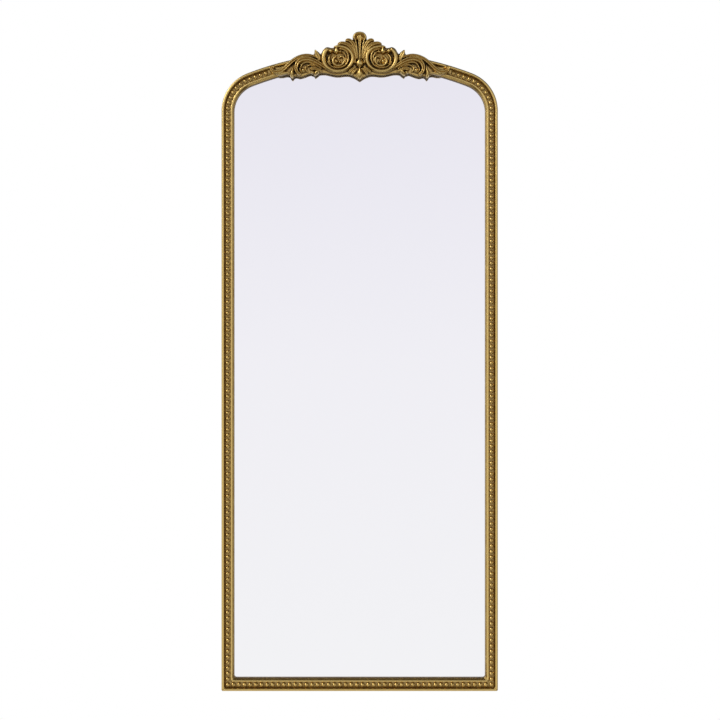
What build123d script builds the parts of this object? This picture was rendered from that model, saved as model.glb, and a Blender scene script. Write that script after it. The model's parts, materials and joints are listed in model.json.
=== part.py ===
from build123d import *

import math
import os

# An arched wall mirror in an antique gold frame, in millimetres.
# X runs to the right, Z up, and the mirror faces -Y. The wall is the plane Y = 0.
# Heights are measured from the bottom edge until write() moves the origin up to the wall hooks.
# "Inset" is measured inwards from the outer edge of the frame, "depth" forwards from the frame's back.

# Outline of the frame, 28 inches wide with two shoulder curves under a flat crown curve
mirror_width = 711.0
half_width = mirror_width / 2
spring_height = 1492.0
shoulder_radius = 104.0
crown_radius = 800.0
bottom_corner_radius = 4.0

# Section of the moulding
face_width = 31.5
lip_width = 7.5
lip_shoulder = 24.25
channel_start = 9.5
channel_end = 23.0
channel_depth = 20.0
fillet_shoulder = 22.5
fillet_peak = 24.6
fillet_end = 28.0
sight_depth = 18.0
rebate_width = 9.0
rebate_depth = 11.0

# What lies in the rebate
pane_gap = 2.0
glass_thickness = 4.0
card_thickness = 2.0
board_thickness = 5.0

# Beading
bead_radius = 6.0
bead_inset = 16.25
bead_centre_depth = 22.3
strip_width = 12.5
strip_thickness = 1.5
side_beads = 103
bottom_beads = 48
shoulder_beads = 11

# Joints between the rails
dowel_radius = 4.0
dowel_length = 28.0
mitre_dowel_radius = 3.0
mitre_dowel_length = 24.0
dowel_depth = 10.0
dowel_slack = 0.05
plate_thickness = 1.6
plate_width = 12.0
plate_length = 60.0
plate_screw_reach = 22.0
brace_leg = 62.0
brace_screws = (34.0, 54.0)

# Back hardware
bumper_thickness = 6.0
bumper_radius = 8.0
bumper_heights = (90.0, 1420.0)
back_centre = (face_width - rebate_width) / 2
button_length = 30.0
button_width = 12.0
button_thickness = 1.2
button_heights = (230.0, 700.0, 1170.0)
button_side = 180.0
button_crown_angle = 8.0
screw_radius = 2.0
screw_slack = 0.06
screw_length = 13.0
head_radius = 3.8
head_height = 1.9
recess_length = 4.0
recess_width = 0.9
recess_depth = 1.1

# Hangers
hanger_height = 1330.0
strap_width = 14.0
strap_length = 42.0
strap_thickness = 1.2
strap_screws = (24.0, 35.0)
wire_radius = 1.5
wire_slack = 0.05
ring_radius = 9.5
ring_leg = 5.0

# Crest
crest_datum = 1600.0
ground_thickness = 8.0
crest_relief = 14.0
web_thickness = 2.5
crest_screw_sides = (60.0, 165.0)
crest_screw_length = 23.0
counterbore_radius = 4.2
counterbore_depth = 3.0

# Places worked out from the sizes above
knuckle_radius = wire_radius + wire_slack + strap_thickness
hook_height = hanger_height + ring_leg + ring_radius - wire_radius
shoulder_x = half_width - shoulder_radius
crown_rise = math.sqrt((crown_radius - shoulder_radius) ** 2 - shoulder_x ** 2)
crown_height = spring_height - crown_rise
shoulder_turn = math.degrees(math.atan2(crown_rise, shoulder_x))
ground_depth = channel_depth + ground_thickness
toward_viewer = (0, -1, 0)


def level(depth):
    """Y of a plane that lies this far in front of the frame's back."""
    return -bumper_thickness - depth


def write(name, *solids):
    """Write one piece, with the origin moved to the line of the wall hooks."""
    shape = Compound(children=[solid for part in solids for solid in part.solids()])
    export_step(Pos(0, 0, -hook_height) * shape, f"parts/{name}.step")


def mirrored(shape):
    return mirror(shape, about=Plane.YZ)


def prism(points, near, far):
    """A straight prism over points (x, height), between two depths."""
    outline = make_face(Polyline(*[(x, level(near), z) for x, z in points], close=True))
    return extrude(outline, amount=far - near, dir=toward_viewer)


def rod(start, end, radius):
    """A round bar between two points."""
    axis = Vector(*end) - Vector(*start)
    return Plane(origin=start, z_dir=axis) * Cylinder(
        radius, axis.length, align=(Align.CENTER, Align.CENTER, Align.MIN)
    )


# Moulding: one section, carried straight along the stiles and round the arch

def moulding_face(at):
    """Section of the moulding, where at(inset, depth) gives a point in space."""
    lip_peak = lip_shoulder + lip_width / 2
    fillet_middle = (channel_end + fillet_end) / 2
    rebate_start = face_width - rebate_width
    cove = at(fillet_end + 2.2, sight_depth + 2.2)
    corners = [
        Line(at(0, 0), at(0, lip_shoulder)),
        ThreePointArc(at(0, lip_shoulder), at(lip_width / 2, lip_peak), at(lip_width, lip_shoulder)),
        Line(at(lip_width, lip_shoulder), at(channel_start, channel_depth)),
        Line(at(channel_start, channel_depth), at(channel_end, channel_depth)),
        Line(at(channel_end, channel_depth), at(channel_end, fillet_shoulder)),
        ThreePointArc(at(channel_end, fillet_shoulder), at(fillet_middle, fillet_peak), at(fillet_end, fillet_shoulder)),
        ThreePointArc(at(fillet_end, fillet_shoulder), cove, at(face_width, sight_depth)),
        Line(at(face_width, sight_depth), at(face_width, rebate_depth)),
        Line(at(face_width, rebate_depth), at(rebate_start, rebate_depth)),
        Line(at(rebate_start, rebate_depth), at(rebate_start, 0)),
        Line(at(rebate_start, 0), at(0, 0)),
    ]
    return Face(Wire(corners))


def strip_face(at):
    """Section of the flat strip under the beads."""
    low = bead_inset - strip_width / 2
    high = bead_inset + strip_width / 2
    top = channel_depth + strip_thickness
    corners = [at(low, channel_depth), at(high, channel_depth), at(high, top), at(low, top)]
    return make_face(Polyline(*corners, close=True))


def stile_at(inset, depth):
    return Vector(-half_width + inset, level(depth), 0)


def rail_at(inset, depth):
    return Vector(-half_width, level(depth), inset)


def shoulder_at(inset, depth):
    return Vector(-half_width + inset, level(depth), spring_height)


def crown_at(inset, depth):
    turn = math.radians(shoulder_turn)
    reach = crown_radius - inset
    return Vector(-reach * math.cos(turn), level(depth), crown_height + reach * math.sin(turn))


shoulder_axis = Axis((-shoulder_x, 0, spring_height), (0, 1, 0))
crown_axis = Axis((0, 0, crown_height), (0, 1, 0))


def on_side(height, inset=back_centre):
    """(x, height) of a point on the left stile."""
    return (-half_width + inset, height)


def on_crown(angle, inset=back_centre):
    """(x, height) of a point on the crown rail, at an angle right of the top."""
    reach = crown_radius - inset
    turn = math.radians(angle)
    return (reach * math.sin(turn), crown_height + reach * math.cos(turn))


def on_shoulder(run, inset):
    """(x, height) of a point this far along the left shoulder from the spring line, then along the crown."""
    radius = shoulder_radius - inset
    turn = run / radius
    if turn <= math.radians(shoulder_turn):
        return (-shoulder_x - radius * math.cos(turn), spring_height + radius * math.sin(turn))
    past = run - radius * math.radians(shoulder_turn)
    angle = -(90 - shoulder_turn) + math.degrees(past / (crown_radius - inset))
    return on_crown(angle, inset)


# Screws, each with its axis along Y, driven forwards from the back

def screw(place, back_depth, length, radius=screw_radius):
    """A pan-head screw whose head sits behind the plane at back_depth."""
    head = Cylinder(head_radius, head_height, align=(Align.CENTER, Align.CENTER, Align.MIN))
    head = fillet(head.edges().group_by(Axis.Z)[-1], head_height / 2)
    for turn in (0, 90):
        slot = Box(recess_length, recess_width, recess_depth, align=(Align.CENTER, Align.CENTER, Align.MAX))
        head -= Pos(0, 0, head_height) * Rot(0, 0, turn) * slot
    shank = Pos(0, 0, -length) * Cylinder(radius, length, align=(Align.CENTER, Align.CENTER, Align.MIN))
    shank = chamfer(shank.edges().group_by(Axis.Z)[0], radius * 0.6)
    x, z = place
    return Plane(origin=(x, level(back_depth), z), z_dir=(0, 1, 0)) * (head + shank)


def screw_hole(place, depth, radius=screw_radius + screw_slack):
    x, z = place
    return rod((x, level(-10), z), (x, level(depth), z), radius)


def flip(place):
    return (-place[0], place[1])


# Where everything is fastened
brace_left_points = [(-half_width + back_centre, reach) for reach in brace_screws]
brace_left_points += [(-half_width + reach, back_centre) for reach in brace_screws]
spring_joint = on_side(spring_height)
crown_joint = on_crown(-(90 - shoulder_turn))
crown_lean = 90 - shoulder_turn


def along(place, lean, reach):
    """A point at a distance along a line that leans this many degrees above the horizontal."""
    turn = math.radians(lean)
    return (place[0] + reach * math.cos(turn), place[1] + reach * math.sin(turn))


plate_places = {"spring": (spring_joint, 90.0), "crown": (crown_joint, crown_lean)}
plate_left_points = [
    along(place, lean, reach)
    for place, lean in plate_places.values()
    for reach in (-plate_screw_reach, plate_screw_reach)
]
hanger_left_points = [on_side(hanger_height - drop) for drop in strap_screws]
crest_screw_places = [
    on_crown(math.degrees(math.asin(side / (crown_radius - back_centre))))
    for side in (-crest_screw_sides[1], -crest_screw_sides[0], *crest_screw_sides)
]

# Turn buttons: (x, height) of the pivot and the direction of the tongue, in degrees above +X
button_places = [(*on_side(height), 0.0) for height in button_heights]
button_places += [(*flip(on_side(height)), 180.0) for height in button_heights]
button_places += [(side, back_centre, 90.0) for side in (-button_side, button_side)]
button_places += [(*on_crown(angle), 270.0 - angle) for angle in (-button_crown_angle, button_crown_angle)]

wood_screw_points = brace_left_points + plate_left_points + hanger_left_points
wood_screw_points = wood_screw_points + [flip(place) for place in wood_screw_points]
wood_screw_points += [(x, z) for x, z, tongue in button_places]
wood_holes = [screw_hole(place, screw_length + 1) for place in wood_screw_points]

for place in crest_screw_places:
    wood_holes.append(screw_hole(place, channel_depth + 1))
    wood_holes.append(screw_hole(place, counterbore_depth, counterbore_radius))


# Dowels: a start and an end for each, on the left half and mirrored
def dowel_line(place, lean, length):
    start = along(place, lean, -length / 2)
    end = along(place, lean, length / 2)
    return [(x, level(dowel_depth), z) for x, z in (start, end)]


mitre_centre = (-half_width + face_width * 0.42, face_width * 0.42)
dowel_lines = {
    "mitre": (mitre_centre, -45.0, mitre_dowel_length, mitre_dowel_radius),
    "spring": (spring_joint, 90.0, dowel_length, dowel_radius),
    "crown": (crown_joint, crown_lean, dowel_length, dowel_radius),
}
dowels = []
dowel_holes = []
for place, lean, length, radius in dowel_lines.values():
    peg = rod(*dowel_line(place, lean, length), radius)
    socket = rod(*dowel_line(place, lean, length + 1), radius + dowel_slack)
    dowels += [peg, mirrored(peg)]
    dowel_holes += [socket, mirrored(socket)]


# Crest: outlines and strokes, as (x, height above the crest datum) on the right half

ground_outline = [
    (0, 91), (7, 89), (12, 84), (14.5, 76.5), (26, 76.5), (34, 71), (42, 65), (54, 63), (63, 57), (72, 54.5),
    (84, 58), (94, 52), (100.5, 42), (106, 41), (113, 46.5), (118, 43), (124, 36.5), (135, 34), (148, 32),
    (162, 27.5), (175, 20), (187, 15), (199, 11.5), (211, 8.5), (224, 8.5), (231.5, 5), (233.5, -1), (230, -7.5),
    (221, -12), (209, -14), (197, -14), (186, -15), (178, -18), (172.5, -26), (165, -19), (154, -19.5), (142, -16.5),
    (130, -13.5), (122, -12.5), (114.5, -19), (106, -12), (96, -10.5), (86, -11), (75, -15.5), (62, -18.5),
    (50, -18), (38, -16), (26, -17), (14, -22), (6, -27), (0, -30),
]

# Thin sheets that tie the strokes of each casting together
palmette_web = [(0, 72), (12, 68), (22, 68), (20, 50), (15, 30), (14, 8), (22, -5), (15, -11), (0, -8)]
scroll_web = [
    (50, 54), (31, 51), (18, 34), (19, 14), (35, 1), (56, -4), (79, 2), (94, 16.5), (98, 33), (93, 48), (84, 54),
    (72, 48),
]
spray_web = [
    (90, 3), (104, 14), (110, 34), (118, 32), (140, 30), (160, 24), (176, 16), (190, 6), (200, -3), (214, -7),
    (222, 4), (226, -6), (214, -11), (190, -10), (178, -8), (172, -14), (160, -14), (140, -12), (114, -12), (90, -5),
]

# The seat for the crest, cut down to the channel floor, a little wider than the ground plate
seat_outline = [
    (237, 9), (226, 11.5), (211, 11.5), (199, 14.5), (187, 19), (175, 27), (160, 60), (-160, 60),
    (-175, 27), (-187, 19), (-199, 14.5), (-211, 11.5), (-226, 11.5), (-237, 9),
    (-237, -4), (-233, -10), (-222, -15), (-210, -17), (-197, -17), (-190, -30),
    (190, -30), (197, -17), (210, -17), (222, -15), (233, -10), (237, -4),
]

lobe_outline = [
    (0, 94), (8, 92), (13.5, 86.5), (14.5, 80), (10.5, 72), (6.5, 60), (5, 45), (5, 30), (9.5, 19), (9.5, 11), (5, 3),
    (0, 1),
]
drop_outline = [(0, 8), (4, 4), (6.5, -5), (12, -16), (8, -24), (0, -30)]

palmette_strokes = [
    ([(5, 20), (7, 40), (12.5, 60), (24, 74.5), (34, 72)], [3, 3.5, 4, 4.5, 2], 12),
    ([(12, 12), (12.5, 32), (18, 50), (33, 63), (53, 63)], [3, 3.5, 4, 4, 1.5], 11),
    ([(9, 6), (26, -8)], [2.5, 4], 8),
    ([(5, 2), (16, -12)], [2.5, 4], 8),
]
scroll_strokes = [
    (
        [(50, 54), (31, 51), (18, 34), (19, 14), (35, 1), (56, -4), (79, 2), (94, 16.5), (98, 33), (93, 48), (84, 54)],
        [2, 4, 4.5, 5, 6, 6.5, 6, 5.5, 5, 4.5, 4],
        13,
    ),
    ([(78, 28), (73, 15.5), (63, 8), (50, 7), (41, 15), (40, 26), (47, 32)], [2, 3, 4, 4, 4, 3.5, 3], 10),
    ([(56, 36), (56, 44), (56, 52)], [4, 5, 1.5], 9),
]
scroll_balls = [(75, 47, 5, 12), (57, 25.5, 5.5, 12)]
spray_strokes = [
    (
        [(77, 1.5), (94, 10.5), (112, 20.5), (130, 26.5), (144, 25.5), (156, 19.5), (164, 8.5), (165.5, -2.5),
         (161, -11.5), (153, -14)],
        [3, 4, 4.5, 5, 5, 5, 4.5, 4.5, 4, 3],
        11,
    ),
    ([(126, 15), (141, 17), (150, 11.5), (155, 2.5)], [2.5, 3, 3, 2], 7),
    ([(118, 29), (133, 31), (148, 29), (163, 24), (176, 17)], [3, 3.5, 3.5, 3, 2], 9),
    ([(112, 28), (112.5, 38), (115, 48)], [7, 5, 1.5], 8),
    ([(90, -5), (104, 0), (118, 2), (130, -2)], [4, 8, 8, 4], 6),
    ([(112, -6), (114.5, -18)], [5, 2], 7),
    ([(169, 8), (172, -10), (172.5, -25)], [2.5, 4.5, 1.5], 10),
    (
        [(160, 22), (172, 18), (183, 9), (193, 0), (204, -6.5), (215, -7), (223.5, -3.5), (228, 2)],
        [3, 4, 5, 5, 5, 4.5, 4, 3],
        8,
    ),
    ([(190, -9.5), (205, -12), (219, -10), (229, -4)], [2, 2, 2, 1.5], 5),
]
spray_balls = [(147, -5, 5, 9), (221, 4, 4.3, 8)]


def crest_plane(depth):
    return Plane(origin=(0, level(depth), crest_datum), x_dir=(1, 0, 0), z_dir=toward_viewer)


def symmetric_face(points):
    """A face inside a smooth outline given by its right half, from the top down to the bottom."""
    right = Spline(*points)
    left = Spline(*[(-x, z) for x, z in reversed(points)])
    return make_face([right, left])


def band(points, half_widths):
    """A face that follows a smooth line, with a round end and a width that changes on the way."""
    spine = Spline(*points) if len(points) > 2 else Line(*points)
    steps = 2 * (len(points) - 1)
    sides = ([], [])
    for step in range(steps + 1):
        place = step / 2
        low = min(int(place), len(points) - 2)
        share = place - low
        reach = half_widths[low] * (1 - share) + half_widths[low + 1] * share
        direction = spine % (step / steps)
        centre = spine @ (step / steps)
        normal = Vector(-direction.Y, direction.X) * reach
        sides[0].append(centre + normal)
        sides[1].append(centre - normal)
    tip = (spine @ 1) + (spine % 1) * half_widths[-1]
    tail = (spine @ 0) - (spine % 0) * half_widths[0]
    edges = [
        Spline(*sides[0]),
        ThreePointArc(sides[0][-1], tip, sides[1][-1]),
        Spline(*reversed(sides[1])),
        ThreePointArc(sides[1][0], tail, sides[0][0]),
    ]
    return make_face(edges)


def carve(web, strokes, balls=()):
    """Raised strokes and round buttons on the right half of the ground plate, tied by a thin web."""
    plane = crest_plane(ground_depth)
    base = plane * extrude(make_face(Polyline(*web, close=True)), web_thickness)
    pieces = [plane * extrude(band(points, widths), height) for points, widths, height in strokes]
    for x, z, radius, height in balls:
        button = Pos(x, z) * Cylinder(radius, height, align=(Align.CENTER, Align.CENTER, Align.MIN))
        pieces.append(plane * button)
    return base.fuse(*pieces)


def make_rails():
    """The six wooden lengths of moulding."""
    mitre = prism([(-half_width - 9, -9), (60, 60 + half_width), (60, -9)], -1, 60)
    corner = [(-half_width, 0), (-half_width + bottom_corner_radius, 0), (-half_width, bottom_corner_radius)]
    bend = bottom_corner_radius * (1 - math.sqrt(0.5))
    corner_edges = [
        Line((corner[0][0], level(-1), corner[0][1]), (corner[1][0], level(-1), corner[1][1])),
        ThreePointArc(
            (corner[1][0], level(-1), corner[1][1]),
            (-half_width + bend, level(-1), bend),
            (corner[2][0], level(-1), corner[2][1]),
        ),
        Line((corner[2][0], level(-1), corner[2][1]), (corner[0][0], level(-1), corner[0][1])),
    ]
    corner_round = extrude(Face(Wire(corner_edges)), amount=60, dir=toward_viewer)

    stile = extrude(moulding_face(stile_at), amount=spring_height, dir=(0, 0, 1))
    stile = stile - mitre - corner_round
    rail = extrude(moulding_face(rail_at), amount=mirror_width, dir=(1, 0, 0))
    past_mitre = prism([(-half_width - 9, -9), (-half_width + 60, 60), (-half_width - 9, 60)], -1, 60)
    rail = rail - past_mitre - mirrored(past_mitre) - corner_round - mirrored(corner_round)
    shoulder = revolve(moulding_face(shoulder_at), axis=shoulder_axis, revolution_arc=shoulder_turn)
    crown = revolve(moulding_face(crown_at), axis=crown_axis, revolution_arc=180 - 2 * shoulder_turn)
    seat = [(x, crest_datum + z) for x, z in seat_outline]
    crown = crown - prism(seat, channel_depth, 60)

    rails = {
        "left_stile": stile,
        "right_stile": mirrored(stile),
        "bottom_rail": rail,
        "left_shoulder": shoulder,
        "right_shoulder": mirrored(shoulder),
        "crown_rail": crown,
    }
    for name, shape in rails.items():
        write(name, shape.cut(*wood_holes, *dowel_holes))


def bead(place):
    """A round bead, cut flat where it meets the channel floor."""
    sunk = math.degrees(math.asin((bead_centre_depth - channel_depth) / bead_radius))
    x, z = place
    round_part = Sphere(bead_radius, arc_size1=-sunk, arc_size2=90, align=(Align.CENTER, Align.CENTER, Align.MIN))
    return Plane(origin=(x, level(channel_depth), z), z_dir=toward_viewer) * round_part


def make_beading():
    """The strips of beads in the channel of the moulding, whose flat backs lie on its floor."""
    side_pitch = (spring_height - bead_inset) / (side_beads + 0.5)
    half_strip = strip_width / 2
    bottom_pitch = 2 * (half_width - bead_inset) / (bottom_beads - 1)

    side_start = bead_inset + half_strip
    side = extrude(strip_face(stile_at), amount=spring_height - side_start, dir=(0, 0, 1))
    side = Pos(0, 0, side_start) * side
    side_places = [on_side(bead_inset + side_pitch * (i + 1), bead_inset) for i in range(side_beads)]
    side = side.fuse(*[bead(place) for place in side_places])
    write("left_beading", side)
    write("right_beading", mirrored(side))

    bottom_start = bead_inset - half_strip
    bottom = extrude(strip_face(rail_at), amount=mirror_width - 2 * bottom_start, dir=(1, 0, 0))
    bottom = Pos(bottom_start, 0, 0) * bottom
    first = -half_width + bead_inset
    bottom = bottom.fuse(*[bead((first + bottom_pitch * i, bead_inset)) for i in range(bottom_beads)])
    write("bottom_beading", bottom)

    strip = revolve(strip_face(shoulder_at), axis=shoulder_axis, revolution_arc=shoulder_turn)
    last_run = side_pitch * shoulder_beads
    bend_run = (shoulder_radius - bead_inset) * math.radians(shoulder_turn)
    crown_run = math.degrees((last_run - bend_run) / (crown_radius - bead_inset))
    strip += revolve(strip_face(crown_at), axis=crown_axis, revolution_arc=crown_run)
    places = [on_shoulder(side_pitch * (i + 0.5), bead_inset) for i in range(shoulder_beads)]
    strip = strip.fuse(*[bead(place) for place in places])
    write("left_shoulder_beading", strip)
    write("right_shoulder_beading", mirrored(strip))


def pane(inset, near, far):
    """A flat sheet with the arched outline at an inset, between two depths."""
    y = level(near)
    side = half_width - inset
    low = math.radians(shoulder_turn)
    middle = low / 2
    radius = shoulder_radius - inset
    start = (side, y, spring_height)
    bend = (shoulder_x + radius * math.cos(middle), y, spring_height + radius * math.sin(middle))
    end = (shoulder_x + radius * math.cos(low), y, spring_height + radius * math.sin(low))
    top = (0, y, crown_height + crown_radius - inset)
    edges = [
        Line((-side, y, inset), (side, y, inset)),
        Line((side, y, inset), start),
        ThreePointArc(start, bend, end),
        ThreePointArc(end, top, (-end[0], y, end[2])),
        ThreePointArc((-end[0], y, end[2]), (-bend[0], y, bend[2]), (-start[0], y, start[2])),
        Line((-start[0], y, start[2]), (-side, y, inset)),
    ]
    return extrude(Face(Wire(edges)), amount=far - near, dir=toward_viewer)


def make_pane():
    """Glass, card and back board, in the rebate from front to back."""
    inset = face_width - rebate_width + pane_gap
    glass_back = rebate_depth - glass_thickness
    write("mirror_glass", pane(inset, glass_back, rebate_depth))
    write("backing_card", pane(inset, board_thickness, board_thickness + card_thickness))
    write("back_board", pane(inset, 0, board_thickness))


def make_dowels():
    write("joint_dowels", *dowels)


def make_buttons():
    """Turn buttons: flat steel tongues that swivel on a screw and reach over the back board."""
    for number, (x, z, tongue) in enumerate(button_places, start=1):
        shape = Pos(button_length / 2 - button_width / 2, 0) * SlotOverall(button_length, button_width)
        shape -= Circle(screw_radius + screw_slack)
        turn = math.radians(tongue)
        plane = Plane(
            origin=(x, level(0), z), x_dir=(math.cos(turn), 0, math.sin(turn)), z_dir=(0, 1, 0)
        )
        write(f"turn_button_{number}", plane * extrude(shape, button_thickness))
    screws = [screw((x, z), -button_thickness, screw_length) for x, z, tongue in button_places]
    write("turn_button_screws", *screws)


def make_braces():
    """Flat steel corner braces at the bottom, mending plates over the joints of the arch, and their screws."""
    edge = -half_width + back_centre - plate_width / 2
    low = back_centre - plate_width / 2
    far_x = -half_width + brace_leg
    legs = [
        (edge, low), (far_x, low), (far_x, low + plate_width), (edge + plate_width, low + plate_width),
        (edge + plate_width, brace_leg), (edge, brace_leg),
    ]
    brace = prism(legs, -plate_thickness, 0)
    brace = brace.cut(*[screw_hole(place, 1) for place in brace_left_points])
    write("left_corner_brace", brace)
    write("right_corner_brace", mirrored(brace))
    for name, (place, lean) in plate_places.items():
        turn = math.radians(lean)
        plane = Plane(
            origin=(place[0], level(0), place[1]), x_dir=(math.cos(turn), 0, math.sin(turn)), z_dir=(0, 1, 0)
        )
        plate = plane * extrude(RectangleRounded(plate_length, plate_width, 3), plate_thickness)
        plate = plate.cut(*[screw_hole(point, 1) for point in plate_left_points])
        write(f"left_{name}_plate", plate)
        write(f"right_{name}_plate", mirrored(plate))
    points = brace_left_points + plate_left_points
    screws = [screw(place, -plate_thickness, screw_length) for place in points + [flip(p) for p in points]]
    write("brace_screws", *screws)


def make_hangers():
    """Strap hangers: a screwed plate with a knuckle, and a D-shaped ring that hinges in it."""
    x = -half_width + back_centre
    axis_y = level(-knuckle_radius)
    strap = Pos(0, -strap_length / 2) * Rectangle(strap_width, strap_length)
    strap = fillet(strap.vertices().group_by(Axis.Y)[0], strap_width / 2 - 0.5)
    plane = Plane(origin=(x, level(0), hanger_height), x_dir=(-1, 0, 0), z_dir=(0, 1, 0))
    half = strap_width / 2
    bar_ends = ((x - half, axis_y, hanger_height), (x + half, axis_y, hanger_height))
    plate = plane * extrude(strap, strap_thickness) + rod(*bar_ends, knuckle_radius)
    plate -= rod(*bar_ends, wire_radius + wire_slack)
    plate = plate.cut(*[screw_hole(place, 1) for place in hanger_left_points])

    left = (x - ring_radius, axis_y, hanger_height)
    right = (x + ring_radius, axis_y, hanger_height)
    foot = hanger_height - ring_leg
    ring = rod(left, right, wire_radius)
    for corner in (left, right):
        ring += Pos(*corner) * Sphere(wire_radius)
        ring += rod(corner, (corner[0], axis_y, foot), wire_radius)
    bow_section = Plane(origin=(x - ring_radius, axis_y, foot), z_dir=(0, 0, 1)) * Circle(wire_radius)
    ring += revolve(bow_section, axis=Axis((x, axis_y, foot), (0, -1, 0)), revolution_arc=180)
    write("left_hanger_plate", plate)
    write("right_hanger_plate", mirrored(plate))
    write("left_ring", ring)
    write("right_ring", mirrored(ring))
    points = hanger_left_points + [flip(place) for place in hanger_left_points]
    write("hanger_screws", *[screw(place, -strap_thickness, screw_length) for place in points])


def make_crest():
    """The crest: a ground plate with the palmette, scrolls and sprays raised on it, and its four screws."""
    ground = crest_plane(channel_depth) * extrude(symmetric_face(ground_outline), ground_thickness)
    tip_depth = counterbore_depth + crest_screw_length
    ground = ground.cut(*[screw_hole(place, tip_depth + 1) for place in crest_screw_places])
    write("crest_ground", ground)

    plane = crest_plane(ground_depth)
    lobe = plane * extrude(symmetric_face(lobe_outline), crest_relief)
    drop = plane * extrude(symmetric_face(drop_outline), crest_relief - 4)
    ribs = carve(palmette_web, palmette_strokes)
    palmette = lobe.fuse(drop, ribs, mirrored(ribs))
    write("crest_palmette", palmette)
    scroll = carve(scroll_web, scroll_strokes, scroll_balls) - palmette
    spray = carve(spray_web, spray_strokes, spray_balls) - scroll
    write("right_scroll", scroll)
    write("left_scroll", mirrored(scroll))
    write("right_spray", spray)
    write("left_spray", mirrored(spray))
    screws = [screw(place, counterbore_depth, crest_screw_length) for place in crest_screw_places]
    write("crest_screws", *screws)


def make_bumpers():
    """Rubber bumpers between the frame's back and the wall."""
    places = [on_side(height) for height in bumper_heights]
    places += [flip(place) for place in places]
    bumpers = [rod((x, level(0), z), (x, 0, z), bumper_radius) for x, z in places]
    write("wall_bumpers", *bumpers)


os.makedirs("parts", exist_ok=True)
make_rails()
make_beading()
make_pane()
make_dowels()
make_buttons()
make_braces()
make_hangers()
make_crest()
make_bumpers()
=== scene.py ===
import json
import math

import bmesh
import bpy
import numpy as np
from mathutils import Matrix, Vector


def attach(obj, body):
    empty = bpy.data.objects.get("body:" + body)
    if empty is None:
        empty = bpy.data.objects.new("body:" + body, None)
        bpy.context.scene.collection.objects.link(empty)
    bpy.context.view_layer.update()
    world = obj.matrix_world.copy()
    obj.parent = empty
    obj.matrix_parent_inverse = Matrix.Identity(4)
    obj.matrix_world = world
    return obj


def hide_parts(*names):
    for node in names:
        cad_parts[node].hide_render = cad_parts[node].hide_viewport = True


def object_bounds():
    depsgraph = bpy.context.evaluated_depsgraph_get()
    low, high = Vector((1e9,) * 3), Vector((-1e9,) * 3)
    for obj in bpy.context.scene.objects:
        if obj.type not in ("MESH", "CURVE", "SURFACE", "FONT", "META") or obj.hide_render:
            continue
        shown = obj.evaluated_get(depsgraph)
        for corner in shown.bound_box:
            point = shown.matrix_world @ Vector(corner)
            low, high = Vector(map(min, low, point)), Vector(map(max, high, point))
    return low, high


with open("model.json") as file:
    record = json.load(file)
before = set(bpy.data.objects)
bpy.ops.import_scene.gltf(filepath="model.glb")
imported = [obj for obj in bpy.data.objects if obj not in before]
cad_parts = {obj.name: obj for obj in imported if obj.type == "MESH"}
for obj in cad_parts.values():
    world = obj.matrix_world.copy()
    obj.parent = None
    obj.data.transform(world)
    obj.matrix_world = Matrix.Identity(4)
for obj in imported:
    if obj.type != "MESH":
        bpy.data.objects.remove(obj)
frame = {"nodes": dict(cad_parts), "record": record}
cadBox = [list(corner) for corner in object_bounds()]
print("frame loaded:", len(frame["nodes"]), "nodes")

# Shapes are worked out in mm: x to the right, height above the bottom edge, depth forward of the frame's back
mm = 0.001
wallGap = 6.0  # the frame's back stands this far off the wall
hookHeight = 1343.0  # the wall hooks, above the bottom edge


def placed(x, height, depth):
    # Turns mm on the mirror into the row's metres: the wall is y = 0 and the hooks' line is z = 0
    x, height, depth = np.broadcast_arrays(x, height, depth)
    return np.stack([x, -(depth + wallGap), height - hookHeight], axis=-1) * mm


def gridFaces(rows, columns, wrap=True):
    # Quads between the neighbours of a rows by columns grid; wrap joins the last column to the first
    r = np.arange(rows - 1)[:, None] * columns
    c = np.arange(columns if wrap else columns - 1)[None, :]
    after = (c + 1) % columns
    return np.stack([r + c, r + after, r + columns + after, r + columns + c], axis=-1).reshape(-1, 4)


def sweptShell(points, marks=None):
    # A closed shell from a grid of points, one row per station, with a flat face over each end
    rows, columns = points.shape[:2]
    faces = gridFaces(rows, columns).tolist()
    faces.append(list(range(columns))[::-1])
    faces.append(list(range((rows - 1) * columns, rows * columns)))
    if marks is None:
        marks = np.zeros(points.shape[:2])
    return points.reshape(-1, 3), faces, np.broadcast_to(marks, points.shape[:2]).reshape(-1)


def joined(shells):
    # Several shells as one: each one's faces count on from the points before it
    points, faces, marks, count = [], [], [], 0
    for shellPoints, shellFaces, shellMarks in shells:
        points.append(shellPoints)
        marks.append(shellMarks)
        faces += [[corner + count for corner in face] for face in shellFaces]
        count += len(shellPoints)
    return np.concatenate(points), faces, np.concatenate(marks)


def mirroredShell(shell):
    points, faces, marks = shell
    return points * (-1, 1, 1), [face[::-1] for face in faces], marks


def setPatinaAndPaintedLight(mesh, values):
    # How far each point lies in a hollow, from 0 on the high places to 1 in the deepest; on the beads it also
    # holds a painted bright rim and a painted darker top as a reflection, and on the crest painted shade on
    # faces that look down
    if "patina" not in mesh.attributes:
        mesh.attributes.new("patina", "FLOAT", "POINT")
    mesh.attributes["patina"].data.foreach_set("value", np.clip(values, 0, 1).astype(np.float32))


def makePiece(name, shell, finishes, sharpAngle=38.0):
    points, faces, marks = shell
    mesh = bpy.data.meshes.new(name)
    mesh.from_pydata(points.tolist(), [], faces)
    work = bmesh.new()
    work.from_mesh(mesh)
    bmesh.ops.recalc_face_normals(work, faces=work.faces)
    work.to_mesh(mesh)
    work.free()
    setPatinaAndPaintedLight(mesh, marks)
    mesh.polygons.foreach_set("use_smooth", np.ones(len(mesh.polygons), bool))
    mesh.set_sharp_from_angle(angle=math.radians(sharpAngle))
    for finish in finishes:
        mesh.materials.append(finish)
    piece = bpy.data.objects.new(name, mesh)
    bpy.context.scene.collection.objects.link(piece)
    return piece


def settle(piece, node, body="mirror"):
    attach(piece, body)
    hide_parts(node)


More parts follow.
